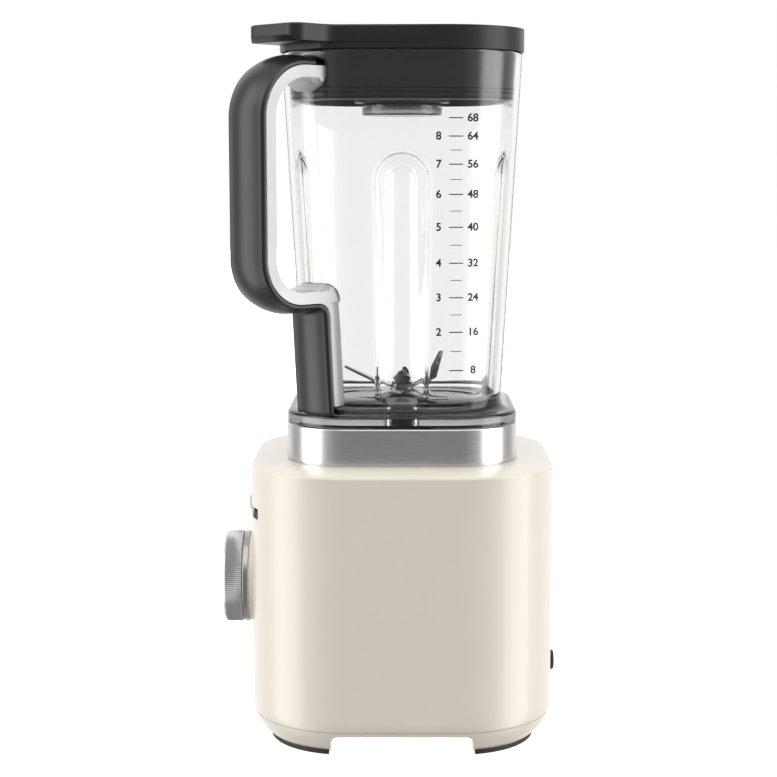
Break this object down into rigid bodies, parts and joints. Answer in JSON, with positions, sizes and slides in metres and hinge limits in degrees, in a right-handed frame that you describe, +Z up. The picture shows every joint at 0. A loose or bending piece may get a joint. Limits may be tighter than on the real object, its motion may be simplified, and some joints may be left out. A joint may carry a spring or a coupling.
{
  "type": "countertop blender",
  "caption": "Countertop blender: cream motor housing with ribbed dial and start lever, metal collar, clear square jar with corner handle, steel blades, black lid with filler cap.",
  "frame": {"origin": "on the surface it stands on, on the axis of the motor and the blades", "axes": "+Z up; -Y is the front with the dial and the lever; the jar's handle points to the +X -Y corner; +Y is the rear with the cord gland"},
  "size_m": [0.187, 0.203, 0.4189],
  "materials": {
    "cream_shell": "satin gloss",
    "soft_black": "soft matte",
    "charcoal": "satin",
    "clear_jar": "clear",
    "smoke_clear": "clear",
    "satin_metal": "brushed",
    "chrome_trim": "polished",
    "stainless": "ground",
    "screw_steel": "zinc",
    "cast_alloy": "cast",
    "lamination": "varnished",
    "copper_wire": "enamelled",
    "bronze": "sintered",
    "carbon": "matt",
    "board_green": "satin",
    "part_blue": "satin",
    "part_amber": "gloss",
    "black_rubber": "matt"
  },
  "bodies": {
    "base": {"housing": "cream_shell", "bottom_cover": "cream_shell", "rubber_feet": "black_rubber", "cover_screws": "screw_steel", "collar": "satin_metal", "collar_screws": "screw_steel", "seat_pad": "black_rubber", "dial_bezel": "satin_metal", "dial_bush": "bronze", "speed_switch": "part_blue", "control_board": "board_green", "board_screws": "screw_steel", "heat_sink": "cast_alloy", "noise_capacitor": "part_amber", "lever_bracket": "charcoal", "lever_switches": "part_blue", "cord_gland": "charcoal", "gland_nut": "charcoal", "motor_top_bracket": "cast_alloy", "motor_bottom_bracket": "cast_alloy", "stator_core": "lamination", "field_coils": "copper_wire", "stator_screws": "screw_steel", "motor_isolators": "black_rubber", "motor_screws": "screw_steel", "top_bearing": "stainless", "bottom_bearing": "stainless", "brush_holders": "bronze", "carbon_brushes": "carbon", "fan_shroud": "charcoal"},
    "rotor": {"motor_shaft": "screw_steel", "rotor_core": "lamination", "rotor_windings": "copper_wire", "commutator": "copper_wire", "cooling_fan": "charcoal", "drive_coupling": "cast_alloy"},
    "dial": {"dial_knob": "satin_metal", "dial_face": "satin_metal", "dial_spindle": "screw_steel"},
    "lever": {"start_lever": "chrome_trim", "lever_pin": "screw_steel"},
    "jar": {"jar": "clear_jar", "handle_core": "clear_jar", "handle_grip": "soft_black", "blade_base": "stainless", "blade_base_seal": "black_rubber", "jar_nut": "charcoal", "spindle_bush": "bronze", "spindle_seal": "black_rubber"},
    "blades": {"blade_spindle": "stainless", "driven_coupling": "charcoal", "lower_blade": "stainless", "middle_blade": "stainless", "upper_blade": "stainless", "blade_nut": "stainless"},
    "lid": {"lid": "charcoal", "lid_gasket": "black_rubber"},
    "cap": {"filler_cap": "smoke_clear"}
  },
  "joints": [
    {"name": "motor_spin", "type": "hinge", "parent": "base", "child": "rotor", "pos_m": [0, 0, 0.1], "axis": [0, 0, 1], "continuous": true},
    {"name": "dial_turn", "type": "hinge", "parent": "base", "child": "dial", "pos_m": [0, -0.1, 0.0885], "axis": [0, 1, 0], "range_deg": [0, 270]},
    {"name": "lever_tilt", "type": "hinge", "parent": "base", "child": "lever", "pos_m": [0, -0.0824, 0.1379], "axis": [1, 0, 0], "range_deg": [-6, 6], "stiffness_Nm_per_rad": 0.4},
    {"name": "jar_lift", "type": "slide", "parent": "base", "child": "jar", "axis": [0, 0, 1], "range_m": [0, 0.03]},
    {"name": "blade_spin", "type": "hinge", "parent": "jar", "child": "blades", "pos_m": [0, 0, 0.2], "axis": [0, 0, 1], "continuous": true},
    {"name": "lid_lift", "type": "slide", "parent": "jar", "child": "lid", "axis": [0, 0, 1], "range_m": [0, 0.045]},
    {"name": "cap_lift", "type": "slide", "parent": "lid", "child": "cap", "axis": [0, 0, 1], "range_m": [0, 0.055]}
  ],
  "couplings": [
    {"joint": "blade_spin", "follows": "motor_spin", "ratio": 1}
  ]
}
